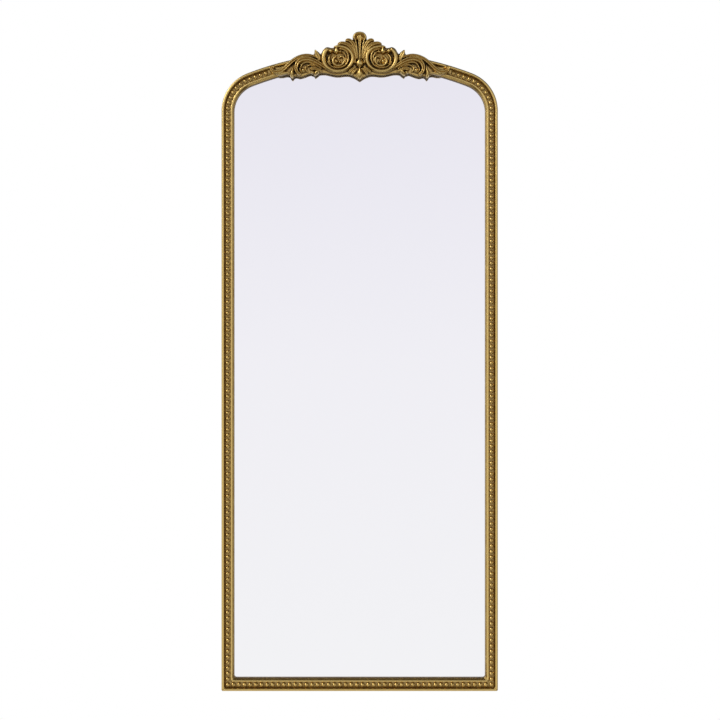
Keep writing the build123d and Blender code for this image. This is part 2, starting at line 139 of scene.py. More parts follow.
# Shader maths. A Wire is one socket of a node; sums of wires and numbers add Math nodes
class Wire:
    def __init__(self, tree, socket):
        self.tree = tree
        self.socket = socket

    def sum(self, operation, first, second):
        maths = self.tree.nodes.new("ShaderNodeMath")
        maths.operation = operation
        for place, value in enumerate((first, second)):
            if isinstance(value, Wire):
                self.tree.links.new(value.socket, maths.inputs[place])
            else:
                maths.inputs[place].default_value = value
        return Wire(self.tree, maths.outputs[0])

    def __add__(self, other):
        return self.sum("ADD", self, other)

    def __radd__(self, other):
        return self.sum("ADD", other, self)

    def __sub__(self, other):
        return self.sum("SUBTRACT", self, other)

    def __rsub__(self, other):
        return self.sum("SUBTRACT", other, self)

    def __mul__(self, other):
        return self.sum("MULTIPLY", self, other)

    def __rmul__(self, other):
        return self.sum("MULTIPLY", other, self)

    def __pow__(self, other):
        return self.sum("POWER", self, other)


class Paint:
    # One node tree, with a method that adds any node and gives back one of its outputs as a Wire
    def __init__(self, tree):
        self.tree = tree
        tree.nodes.clear()

    def add(self, kind, settings=None, values=None, output=0):
        node = self.tree.nodes.new(kind)
        for name, value in (settings or {}).items():
            if name == "stops":
                ramp = node.color_ramp.elements
                while len(ramp) < len(value):
                    ramp.new(0.5)
                for stop, (place, colour) in zip(ramp, value):
                    stop.position = place
                    stop.color = colour
            else:
                setattr(node, name, value)
        for name, value in (values or {}).items():
            if isinstance(value, Wire):
                self.tree.links.new(value.socket, node.inputs[name])
            else:
                node.inputs[name].default_value = value
        return Wire(self.tree, node.outputs[output])

    def between(self, wire, low, high, start=0.0, end=1.0):
        # start at low and end at high, smoothly between them
        return self.add(
            "ShaderNodeMapRange", {"interpolation_type": "SMOOTHSTEP"},
            {"Value": wire, "From Min": low, "From Max": high, "To Min": start, "To Max": end},
        )

    def blend(self, share, first, second):
        # A colour mix; its sockets go by number, because the mix node has several of each name
        return self.add("ShaderNodeMix", {"data_type": "RGBA"}, {0: share, 6: first, 7: second}, output=2)

    def noise(self, place, scale, detail=4.0, roughness=0.55):
        values = {"Vector": place, "Scale": scale, "Detail": detail, "Roughness": roughness}
        return self.add("ShaderNodeTexNoise", {}, values)


def newFinish(name):
    finish = bpy.data.materials.new(name)
    finish.use_nodes = True
    return finish, Paint(finish.node_tree)


def closeFinish(paint, surface):
    output = paint.tree.nodes.new("ShaderNodeOutputMaterial")
    paint.tree.links.new(surface.socket, output.inputs["Surface"])


# Antique gold: leaf paint, rubbed bright on the high places, with umber left in the hollows; from the same
# attribute it also paints shade on the crest's downward faces and a bright rim and darker top on each bead
gilding = {
    "bright": (0.66, 0.475, 0.165, 1),
    "middle": (0.52, 0.36, 0.115, 1),
    "deep": (0.38, 0.235, 0.065, 1),
    "umber": (0.062, 0.034, 0.014, 1),
    "olive": (0.135, 0.095, 0.034, 1),
    "roughness": 0.27,
}


def gildedFinish(name, tone=1.0, grain=1.0):
    finish, paint = newFinish(name)
    place = paint.add("ShaderNodeTexCoord", output=3)
    patina = paint.add("ShaderNodeAttribute", {"attribute_name": "patina"}, output=2)
    cloud = paint.noise(place, 38.0, 3.0)
    brushed = paint.noise(place, 170.0, 4.0, 0.6)
    speckle = paint.noise(place, 900.0 * grain, 3.0, 0.7)
    # Painted light comes in here with the patina: umber as painted shade on faces that look down, and on the
    # beads a painted highlight on the rim and deeper gold on the top as a painted reflection
    settledAndPaintedLight = patina + (brushed - 0.5) * 0.09 + (cloud - 0.5) * 0.10
    dirtAndPaintedShade = paint.between(settledAndPaintedLight, 0.45, 1.0)
    rubbedAndPaintedHighlight = paint.between(settledAndPaintedLight, 0.26, 0.0)
    warm = paint.between(cloud + (brushed - 0.5) * 0.2, 0.30, 0.70)
    gold = paint.blend(warm, gilding["deep"], gilding["middle"])
    gold = paint.blend(paint.between(settledAndPaintedLight, 0.42, 0.12, 0.0, tone), gold, gilding["middle"])
    gold = paint.blend(rubbedAndPaintedHighlight * 0.85, gold, gilding["bright"])
    shade = paint.blend(paint.between(brushed, 0.42, 0.62), gilding["umber"], gilding["olive"])
    colour = paint.blend(dirtAndPaintedShade, gold, shade)
    bump = paint.add(
        "ShaderNodeBump", {}, {"Height": speckle * 0.4 + brushed, "Strength": 0.30, "Distance": 0.00022},
    )
    surface = paint.add("ShaderNodeBsdfPrincipled", {}, {
        "Base Color": colour,
        "Metallic": 1.0 - dirtAndPaintedShade * 0.6,
        "Roughness": dirtAndPaintedShade * 0.30 + (speckle - 0.5) * 0.06 + gilding["roughness"],
        "Normal": bump,
        "Coat Weight": 0.18 - dirtAndPaintedShade * 0.12,
        "Coat Roughness": 0.22,
    })
    closeFinish(paint, surface)
    return finish


# Bare wood: fibres drawn out along the grain, whose direction has the smallest of the three scales
def woodFinish(name, light, dark, scale=1.0, grain=(60, 60, 5)):
    finish, paint = newFinish(name)
    place = paint.add("ShaderNodeTexCoord", output=3)
    stretch = tuple(scale * part for part in grain)
    stretched = paint.add("ShaderNodeMapping", {}, {"Vector": place, "Scale": stretch})
    fibre = paint.noise(stretched, 3.0, 6.0, 0.62)
    cloud = paint.noise(place, 14.0, 3.0)
    share = paint.between(fibre + (cloud - 0.5) * 0.5, 0.34, 0.68)
    colour = paint.blend(share, light, dark)
    bump = paint.add("ShaderNodeBump", {}, {"Height": fibre, "Strength": 0.3, "Distance": 0.0004})
    surface = paint.add("ShaderNodeBsdfPrincipled", {}, {
        "Base Color": colour, "Roughness": share * 0.12 + 0.62, "Normal": bump,
    })
    closeFinish(paint, surface)
    return finish


# Silvered glass: a clean reflection, a trace of haze, and a slightly cool tint
def mirrorFinish():
    finish, paint = newFinish("silveredGlass")
    place = paint.add("ShaderNodeTexCoord", output=3)
    haze = paint.noise(place, 3.5, 3.0)
    colour = paint.blend(haze, (0.955, 0.958, 0.962, 1), (0.965, 0.965, 0.968, 1))
    surface = paint.add("ShaderNodeBsdfPrincipled", {}, {
        "Base Color": colour, "Metallic": 1.0, "Roughness": paint.between(haze, 0.45, 0.75, 0.0, 0.012),
    })
    closeFinish(paint, surface)
    return finish


def steelFinish():
    # Zinc plate: pale bluish grey with the cloudy spangle of plated sheet and fine scratches
    finish, paint = newFinish("zincPlate")
    place = paint.add("ShaderNodeTexCoord", output=3)
    spangle = paint.add("ShaderNodeTexVoronoi", {"feature": "F1"}, {"Vector": place, "Scale": 420.0})
    cloud = paint.noise(place, 90.0, 4.0)
    drawn = paint.add("ShaderNodeMapping", {}, {"Vector": place, "Scale": (900, 900, 60)})
    scratches = paint.noise(drawn, 1.0, 5.0, 0.7)
    share = paint.between(cloud * 0.7 + spangle * 0.5, 0.3, 0.75)
    colour = paint.blend(share, (0.60, 0.62, 0.64, 1), (0.46, 0.46, 0.45, 1))
    bump = paint.add("ShaderNodeBump", {}, {"Height": scratches, "Strength": 0.15, "Distance": 0.0001})
    surface = paint.add("ShaderNodeBsdfPrincipled", {}, {
        "Base Color": colour, "Metallic": 0.95, "Roughness": share * 0.16 + 0.28, "Normal": bump,
    })
    closeFinish(paint, surface)
    return finish


def sheetFinish(name, light, dark, scale, roughness, height):
    # Fibrous sheet, such as hardboard, card or rubber: fine clouded speckle with a matt surface
    finish, paint = newFinish(name)
    place = paint.add("ShaderNodeTexCoord", output=3)
    speckle = paint.noise(place, scale, 5.0, 0.7)
    cloud = paint.noise(place, scale / 40, 3.0)
    share = paint.between(speckle + (cloud - 0.5) * 0.2, 0.34, 0.66)
    colour = paint.blend(share, light, dark)
    bump = paint.add("ShaderNodeBump", {}, {"Height": speckle, "Strength": 0.3, "Distance": height})
    surface = paint.add("ShaderNodeBsdfPrincipled", {}, {
        "Base Color": colour, "Roughness": share * 0.1 + roughness, "Normal": bump,
    })
    closeFinish(paint, surface)
    return finish


gildedWood = gildedFinish("gildedWood")
gildedBeads = gildedFinish("gildedBeads", 0.8)
gildedCasting = gildedFinish("gildedCasting", 0.9, 1.3)
softwood = ((0.58, 0.41, 0.24, 1), (0.40, 0.26, 0.14, 1))
bareWood = woodFinish("bareWood", *softwood)
bareWoodAcross = woodFinish("bareWoodAcross", *softwood, 1.0, (5, 60, 60))
beechWood = woodFinish("beechWood", (0.70, 0.52, 0.34, 1), (0.56, 0.38, 0.22, 1), 2.0)
castingBack = sheetFinish("castingBack", (0.30, 0.23, 0.13, 1), (0.20, 0.14, 0.07, 1), 300.0, 0.6, 0.0004)
hardboard = sheetFinish("hardboard", (0.36, 0.24, 0.14, 1), (0.25, 0.155, 0.085, 1), 650.0, 0.62, 0.0003)
greyCard = sheetFinish("greyCard", (0.62, 0.53, 0.40, 1), (0.50, 0.41, 0.29, 1), 500.0, 0.85, 0.0002)
softRubber = sheetFinish("softRubber", (0.045, 0.045, 0.047, 1), (0.028, 0.028, 0.03, 1), 800.0, 0.72, 0.0002)
zincPlate = steelFinish()
silveredGlass = mirrorFinish()
print("finishes made")

# The moulding: its section is carried round an outline of straights and arcs
moulding = {
    "halfWidth": 355.5,
    "faceWidth": 31.5,
    "springHeight": 1492.0,
    "shoulderCentre": 251.5,
    "shoulderRadius": 104.0,
    "crownRadius": 800.0,
    "outerCorner": 4.0,
    "sightCorner": 6.0,
    "mitreGroove": 0.45,
    "mitreGap": {"from": 20.0, "to": 25.0, "depth": 2.2},  # the mitre stands open at its inner end
    "channelDepth": 20.0,
    "rebateDepth": 11.0,
}
halfWidth = moulding["halfWidth"]
springHeight = moulding["springHeight"]
centreGap = moulding["crownRadius"] - moulding["shoulderRadius"]
crownLean = math.asin(moulding["shoulderCentre"] / centreGap)
crownCentre = springHeight - centreGap * math.cos(crownLean)


def arc(centre, radius, start, end, steps):
    turn = np.radians(np.linspace(start, end, steps + 1))
    return np.stack([centre[0] + radius * np.cos(turn), centre[1] + radius * np.sin(turn)], axis=-1)


# The section as (inset from the outer edge, depth), from the foot of the outer wall round to the back
wall = np.array([(0, 0), (0, 6), (0, 12), (0, 18), (0, 21.5)])
lip = arc((3.75, 24.25), 3.75, 180, 0, 14)
hollow = np.array([
    (7.9, 22.9), (8.5, 21.4), (9.2, 20.4), (10.2, 20), (16.25, 19.8), (21.4, 20), (22.0, 20.5), (22.3, 21.6),
])
fillet = arc((25.5, 21.3), 3.3, 165, 15, 10)
cove = np.array([(29.2, 21.3), (29.8, 20.5), (30.5, 19.7), (31.1, 18.8), (31.5, 17.9)])
rebate = np.array([(31.5, 14), (31.5, 11), (22.5, 11), (22.5, 0)])
section = np.concatenate([wall, lip, hollow, fillet, cove, rebate])
sectionPatina = np.concatenate([
    [0.75, 0.45, 0.30, 0.25, 0.22],
    np.interp(np.linspace(0, 1, 15), [0, 0.2, 0.5, 0.8, 1], [0.2, 0.08, 0.0, 0.16, 0.5]),
    [0.56, 0.60, 0.58, 0.54, 0.54, 0.54, 0.58, 0.50],
    np.interp(np.linspace(0, 1, 11), [0, 0.25, 0.5, 0.8, 1], [0.4, 0.05, 0.0, 0.08, 0.3]),
    [0.36, 0.42, 0.46, 0.50, 0.6],
    [0.85, 1.0, 1.0, 1.0],
])
inset, sectionDepth = section.T
goldenColumns = len(section) - 3  # the columns after these belong to the raw back


def cornerArc(insets, start, end, steps):
    # One row of points per step round the bottom left corner, whose radius grows from outer edge to sight edge
    radius = np.interp(insets, [0, moulding["faceWidth"]], [moulding["outerCorner"], moulding["sightCorner"]])
    turn = np.radians(np.linspace(start, end, steps + 1))[:, None]
    x = -halfWidth + insets + radius * (1 + np.cos(turn))
    return x, insets + radius * (1 + np.sin(turn))


def stilePath(insets):
    # From the mitre round half the corner, then straight up to the spring line
    x, height = cornerArc(insets, 225, 180, 8)
    rise = np.linspace(0, 1, 30)[1:, None]
    return np.concatenate([x, np.broadcast_to(x[-1], (29, len(insets)))]), np.concatenate(
        [height, height[-1] + (springHeight - height[-1]) * rise])


def railPath(insets):
    # From one mitre round half the corner, straight along the bottom, and round half the other corner
    x, height = cornerArc(insets, 225, 270, 8)
    run = np.linspace(0, 1, 14)[1:-1, None]
    middle = x[-1] * (1 - 2 * run)
    flat = np.broadcast_to(height[-1], middle.shape)
    return np.concatenate([x, middle, -x[::-1]]), np.concatenate([height, flat, height[::-1]])


def turnedPath(insets, centre, radius, start, end, steps):
    # Round a circle, each inset on its own radius
    turn = np.radians(np.linspace(start, end, steps + 1))[:, None]
    return centre[0] + (radius - insets) * np.cos(turn), centre[1] + (radius - insets) * np.sin(turn)


def shoulderPath(insets, steps=40):
    place = (-moulding["shoulderCentre"], springHeight)
    return turnedPath(insets, place, moulding["shoulderRadius"], 180, 90 + math.degrees(crownLean), steps)


def crownPath(insets, steps=220):
    lean = math.degrees(crownLean)
    return turnedPath(insets, (0, crownCentre), moulding["crownRadius"], 90 + lean, 90 - lean, steps)


def memberShell(path, mitres=(), seat=None):
    x, height = path(inset)
    depth = np.broadcast_to(sectionDepth, x.shape).copy()
    marks = np.broadcast_to(sectionPatina, x.shape).copy()
    gap = moulding["mitreGap"]
    for end in mitres:  # the gold is drawn back into a fine line where two members meet
        front = sectionDepth > moulding["rebateDepth"]
        depth[end, front] -= moulding["mitreGroove"]
        depth[end, (inset > gap["from"]) & (inset < gap["to"]) & front] -= gap["depth"]
        marks[end, front] = 1.0
    if seat is not None:
        depth = np.where(seat(x, height), np.minimum(depth, moulding["channelDepth"]), depth)
    return sweptShell(placed(x, height, depth), marks)


def makeMember(name, node, shell):
    lying = node in ("bottom_rail", "crown_rail")  # the grain runs along the rail
    piece = makePiece(name, shell, [gildedWood, bareWoodAcross if lying else bareWood])
    sides = len(section)
    column = np.arange(len(piece.data.polygons)) % sides
    raw = (column >= goldenColumns) & (np.arange(len(column)) < len(column) - 2)
    piece.data.polygons.foreach_set("material_index", raw.astype(np.int32))
    settle(piece, node)


def insideOutline(outline, x, height):
    # Even-odd rule: a point is inside where a line from it crosses the outline an odd number of times
    inside = np.zeros(np.shape(x), bool)
    for (x1, h1), (x2, h2) in zip(outline, np.roll(outline, -1, axis=0)):
        if h1 != h2:
            inside ^= ((h1 > height) != (h2 > height)) & (x < (x2 - x1) * (height - h1) / (h2 - h1) + x1)
    return inside


# The crest casting. Heights here are above the crest's datum; the carving rises forward of its ground plate
crest = {
    "datum": 1600.0,
    "backDepth": 20.0,
    "groundDepth": 28.0,
    "slabDepth": 26.0,
    "strokeFloor": 21.0,
    "groundVoxel": 0.95,
    "carvingVoxel": 0.55,
    "groundSmoothing": 44,
    "carvingSmoothing": 5,
    "sunk": 1.5,  # how far a stroke's edge goes below the face of the ground
    "stepAlong": 0.7,
    "pointsAcross": 31,
    "stepOfOutline": 1.6,
    "seatMargin": 2.0,  # the rail is planed to its channel under the crest, this far inside its edge
    "envelopeGap": 0.0001,
    # patina terms: a plain level, local hollows, wide hollows, and painted shade on faces that look down
    "patina": {"plain": 0.20, "near": 0.115, "wide": 0.030, "under": 0.05},
    "outline": [
        (0, 91), (7, 89), (12, 84), (14.5, 76.5), (26, 76), (34, 70.5), (42, 65), (54, 62), (63, 57), (72, 54.5),
        (84, 57), (93, 51), (99, 41), (105, 38), (112, 44), (117, 41), (122, 35.5), (135, 34), (148, 32),
        (162, 27.5), (175, 20), (187, 13), (199, 8), (211, 6), (224, 8), (231, 5), (233, -1), (230, -7),
        (221, -12), (209, -14.5), (197, -14.5), (186, -15.5), (178, -18), (173, -24), (165, -18.5), (154, -20.5),
        (142, -17.5), (130, -13), (122, -12), (114.5, -17.5), (106, -12), (96, -10.5), (86, -11), (75, -13.5),
        (62, -16), (50, -16), (38, -14.5), (26, -15), (14, -19.5), (6, -24.5), (0, -28),
    ],
}


def smoothRun(rows, spacing, closed=False):
    # Each span is a cubic that bends evenly through the rows given (Catmull-Rom), divided into equal steps
    rows = np.asarray(rows, float)
    if closed:
        rows = np.concatenate([rows[-1:], rows, rows[:2]])
    else:
        rows = np.concatenate([2 * rows[:1] - rows[1:2], rows, 2 * rows[-1:] - rows[-2:-1]])
    a, b, c, d = rows[:-3], rows[1:-2], rows[2:-1], rows[3:]
    share = np.linspace(0, 1, 16, endpoint=False)[:, None, None]
    second = 2 * a - 5 * b + 4 * c - d
    third = 3 * b - a - 3 * c + d
    fine = b + 0.5 * ((c - a) * share + second * share**2 + third * share**3)
    fine = np.concatenate([fine.transpose(1, 0, 2).reshape(-1, rows.shape[1]), rows[-2:-1]])
    run = np.concatenate([[0], np.cumsum(np.hypot(*np.diff(fine[:, :2], axis=0).T))])
    even = np.linspace(0, run[-1], max(int(run[-1] / spacing), 6) + 1)
    return np.stack([np.interp(even, run, column) for column in fine.T], axis=-1)


def onCrest(x, height, depth):
    return placed(x, height + crest["datum"], depth)


def stroke(rows, reeds=1, groove=0.4, dome=2.0, lean=0.0, ends=(1.0, 1.0)):
    # Rows are (x, height, half width, rise). Across the path the top is the square root of 1 - |s| to the power
    # dome, cut into reeds by |sine|; near each end width and rise close in as a quarter circle does
    x, height, half, rise = smoothRun(rows, crest["stepAlong"]).T
    run = np.concatenate([[0], np.cumsum(np.hypot(np.diff(x), np.diff(height)))])
    alongX, alongH = np.gradient(x), np.gradient(height)
    size = np.hypot(alongX, alongH) + 1e-9
    closing = np.ones(len(x))
    for reach, rounded in ((run, ends[0]), (run[-1] - run, ends[1])):
        if rounded:
            near = np.clip(reach / (np.maximum(half, 0.5) * rounded), 0, 1)
            closing *= np.sqrt(np.clip(1 - (1 - near) ** 2, 0.004, 1))
    s = np.linspace(-1, 1, crest["pointsAcross"])
    top = np.sqrt(np.clip(1 - np.abs(s) ** dome, 0, 1))
    if reeds > 1:
        top = top * (1 - groove + groove * np.abs(np.sin(math.pi * reeds * (s + 1) / 2)) ** 0.75)
    sideways = (half * closing)[:, None] * (s + lean * (1 - s**2))
    depth = crest["groundDepth"] - crest["sunk"] + ((rise + crest["sunk"]) * closing)[:, None] * top
    foot = np.full((len(x), 1), crest["strokeFloor"])
    sideways = np.concatenate([sideways, sideways[:, -1:], sideways[:, :1]], axis=1)
    depth = np.concatenate([depth, foot, foot], axis=1)
    pointsX = x[:, None] - sideways * (alongH / size)[:, None]
    pointsH = height[:, None] + sideways * (alongX / size)[:, None]
    return sweptShell(onCrest(pointsX, pointsH, depth))


def knob(x, height, halfWidth, halfHeight, rise, turn=0.0):
    # A low dome: half an ellipsoid whose middle lies just under the ground, on rings from foot to pole
    climb = np.radians(np.linspace(0, 90, 14))[:, None]
    around = np.radians(np.arange(0, 360, 10))[None, :]
    across = halfWidth * np.cos(climb) * np.cos(around)
    up = halfHeight * np.cos(climb) * np.sin(around)
    lean = math.radians(turn)
    x = x + across * math.cos(lean) - up * math.sin(lean)
    height = height + across * math.sin(lean) + up * math.cos(lean)
    depth = crest["groundDepth"] - 2 * crest["sunk"] + (rise + 2 * crest["sunk"]) * np.sin(climb)
    foot = np.full((1, x.shape[1]), crest["strokeFloor"])
    return sweptShell(onCrest(
        np.concatenate([x[:1], x]), np.concatenate([height[:1], height]),
        np.concatenate([foot, np.broadcast_to(depth, x.shape)]),
    ))


def flipped(shells):
    return [mirroredShell(shell) for shell in shells]


def castPiece(name, shells, voxel, smoothing):
    # The separate strokes are fused into one casting by a voxel remesh, then softened as poured resin is
    rough = makePiece(name + "Rough", joined(shells), [])
    remesh = rough.modifiers.new("fuse", "REMESH")
    remesh.mode = "VOXEL"
    remesh.voxel_size = voxel * mm
    soften = rough.modifiers.new("soften", "SMOOTH")
    soften.factor = 0.5
    soften.iterations = smoothing
    fused = bpy.data.meshes.new_from_object(rough.evaluated_get(bpy.context.evaluated_depsgraph_get()))
    roughMesh = rough.data
    bpy.data.objects.remove(rough)
    bpy.data.meshes.remove(roughMesh)
    points = np.empty(len(fused.vertices) * 3)
    fused.vertices.foreach_get("co", points)
    points = points.reshape(-1, 3)
    points[:, 1] = np.maximum(points[:, 1], cadBox[0][1] + crest["envelopeGap"])
    points[:, 2] = np.minimum(points[:, 2], cadBox[1][2] - crest["envelopeGap"])
    fused.vertices.foreach_set("co", points.ravel())
    fused.name = name
    fused.materials.clear()
    fused.materials.append(gildedCasting)
    fused.materials.append(castingBack)
    fused.polygons.foreach_set("use_smooth", np.ones(len(fused.polygons), bool))
    piece = bpy.data.objects.new(name, fused)
    bpy.context.scene.collection.objects.link(piece)
    print(name, len(fused.polygons), "faces")
    return piece


# The palmette: a rolled lobe on a fluted rib, two pairs of curling flutes, an onion-shaped bulb, rays and a drop
palmetteMiddle = [
    # the rolled rim of the lobe
    stroke([(-11.5, 71, 2.4, 10), (-14.2, 76, 3.4, 12.4), (-14.0, 82, 3.9, 13.6), (-8.8, 87.8, 4.2, 14),
            (0, 89.8, 4.3, 14), (8.8, 87.8, 4.2, 14), (14.0, 82, 3.9, 13.6), (14.2, 76, 3.4, 12.4),
            (11.5, 71, 2.4, 10)]),
    # its face
    knob(0, 79, 13, 11, 10.5),
    # the rib
    stroke([(0, 88, 5.0, 12.0), (0, 80, 6.0, 12.2), (0, 68, 5.6, 12), (0, 52, 4.2, 11.4),
            (0, 36, 3.4, 10.6), (0, 20, 3.2, 10)], reeds=2, groove=0.22, dome=2.6),
    # the bulb
    stroke([(0, 27, 2.2, 9), (0, 22, 5.6, 12), (0, 15, 10.6, 14), (0, 8.5, 10.8, 14), (0, 3.5, 6.8, 12),
            (0, 0.5, 3.0, 10)], dome=2.4, ends=(0.7, 0.9)),
    # the drop
    stroke([(0, 3, 3.4, 8), (0, -5, 6.6, 10), (0, -12.5, 10.8, 11), (0, -19.5, 7.6, 9.4), (0, -27, 1.6, 5)],
           dome=1.2, ends=(0.6, 0.6)),
]
palmetteSide = [
    # a strand beside the rib
    stroke([(12.4, 77, 2.2, 10), (10.2, 67, 2.8, 11), (8, 55, 2.8, 11), (6.4, 41, 2.5, 10.4),
            (5.6, 25, 2.0, 9)]),
    # the inner flute
    stroke([(6.6, 22, 3.4, 9), (9.4, 38, 4.3, 10.6), (12.8, 51.5, 5.5, 12), (18, 62.6, 6.3, 12.8),
            (25, 69.6, 6.5, 13), (32, 71.2, 5.2, 12.6), (37, 68.8, 2.6, 9.4)],
           reeds=2, groove=0.34, dome=2.7, lean=0.12),
    # the outer flute
    stroke([(12, 11, 3.4, 8), (13, 25, 4.0, 9.6), (15.8, 38, 5.0, 11), (21, 49.6, 6.1, 11.8),
            (29.6, 58.4, 6.7, 12), (40, 62.6, 6.5, 12), (50, 63, 5.4, 11), (57, 60, 3.0, 8.4)],
           reeds=2, groove=0.34, dome=2.7, lean=0.12),
    # the long ray
    stroke([(8, 5, 2.4, 8), (16, -0.6, 4.0, 9.8), (24, -6.8, 4.9, 9.6), (29.6, -11, 2.8, 6.6)],
           reeds=2, groove=0.32, dome=2.7),
    # the short ray
    stroke([(5, 1, 2.2, 8), (11, -5.2, 3.6, 9.8), (17.4, -11.6, 4.5, 9), (21.4, -15.4, 2.4, 5.6)],
           reeds=2, groove=0.32, dome=2.7),
]

# The right scroll: an outer ring, a ridge inside it, a bright crescent, the volute, its eye, and a bud above
scrollStrokes = [
    # the outer ring
    stroke([(67, 54, 2.2, 9), (58, 55.4, 4.4, 11.5), (47, 54.6, 5.6, 13), (36, 51.4, 6.1, 13.4),
            (27, 45.4, 6.3, 13.6), (20.4, 36.8, 6.3, 13.6), (18, 26.4, 6.3, 13.6), (19.4, 16, 6.2, 13.6),
            (24.6, 6.4, 5.9, 13.4), (32.6, -1, 5.3, 13), (43, -5.6, 4.9, 12.6), (55, -7.2, 4.8, 12.2),
            (67, -6.2, 5.2, 12.4), (78, -2, 6.0, 12.8), (86.4, 5.4, 6.8, 13.2), (91.4, 15.4, 7.3, 13.4),
            (92.8, 27, 7.5, 13.4), (90.4, 38, 7.1, 13.4), (84.2, 46, 6.4, 13.2), (76.8, 49.4, 4.8, 12.6)],
           dome=2.3),
    # the ridge inside it
    stroke([(54, 48.4, 1.8, 8), (46, 48.2, 3.0, 10), (37.4, 44.4, 3.4, 11), (31.4, 37.4, 3.5, 11.6),
            (29.2, 28, 3.5, 11.6), (30.6, 18, 3.4, 11.6), (35.6, 8.8, 3.2, 11), (44, 2.9, 2.9, 10.4),
            (54, 0.5, 2.7, 10), (64, 1.3, 2.7, 10), (73, 5, 2.6, 10), (79.4, 11.4, 2.3, 10),
            (83, 19, 1.5, 9)]),
    # a short ridge inside that
    stroke([(48, 42.4, 1.6, 8.5), (41.6, 40, 2.5, 10), (37, 34.2, 2.8, 10.6), (35.2, 26.6, 2.7, 10.6),
            (36, 18.4, 2.4, 10.2), (39, 11.4, 1.4, 9)]),
    # the sunk face
    knob(58.5, 25, 26, 24, 3.6),
    # the crescent
    stroke([(71, 35.4, 1.4, 9), (76.4, 31, 3.3, 12.2), (78.8, 23.4, 4.0, 13.4), (77.4, 15, 3.6, 12.4),
            (72.6, 8.4, 1.6, 9)], dome=1.8),
    # the volute
    stroke([(51.4, 22.6, 1.8, 9.6), (49.6, 27.8, 3.0, 12), (43.4, 28.6, 3.6, 13), (39.8, 22.4, 3.8, 13.2),
            (40.8, 14.4, 3.8, 13.2), (46, 8, 3.7, 13), (54.4, 5.4, 3.8, 13), (63, 7.8, 4.4, 13.2),
            (68.2, 14, 4.8, 13.4), (67.8, 21.6, 4.6, 13.2), (63.4, 27.6, 3.6, 12.8),
            (57.6, 29.4, 2.4, 11.4)], dome=2.2),
    # its swelling
    knob(60, 17.6, 6.4, 8.4, 11.6),
    # its eye
    knob(51.2, 15.6, 4.0, 4.6, 8.6),
    # the bud
    stroke([(59, 56, 1.6, 9), (59, 50.6, 5.2, 12.4), (59.6, 44, 9.0, 13.6), (59.6, 39, 9.6, 13.4),
            (58.6, 34.4, 5.8, 11)], dome=1.7, ends=(0.4, 0.9)),
    # a berry beside the bud
    knob(49.6, 41.4, 5.0, 5.2, 12.6),
    # the ball in the end of the ring
    knob(74.6, 43.8, 7.2, 7.4, 13.6),
]

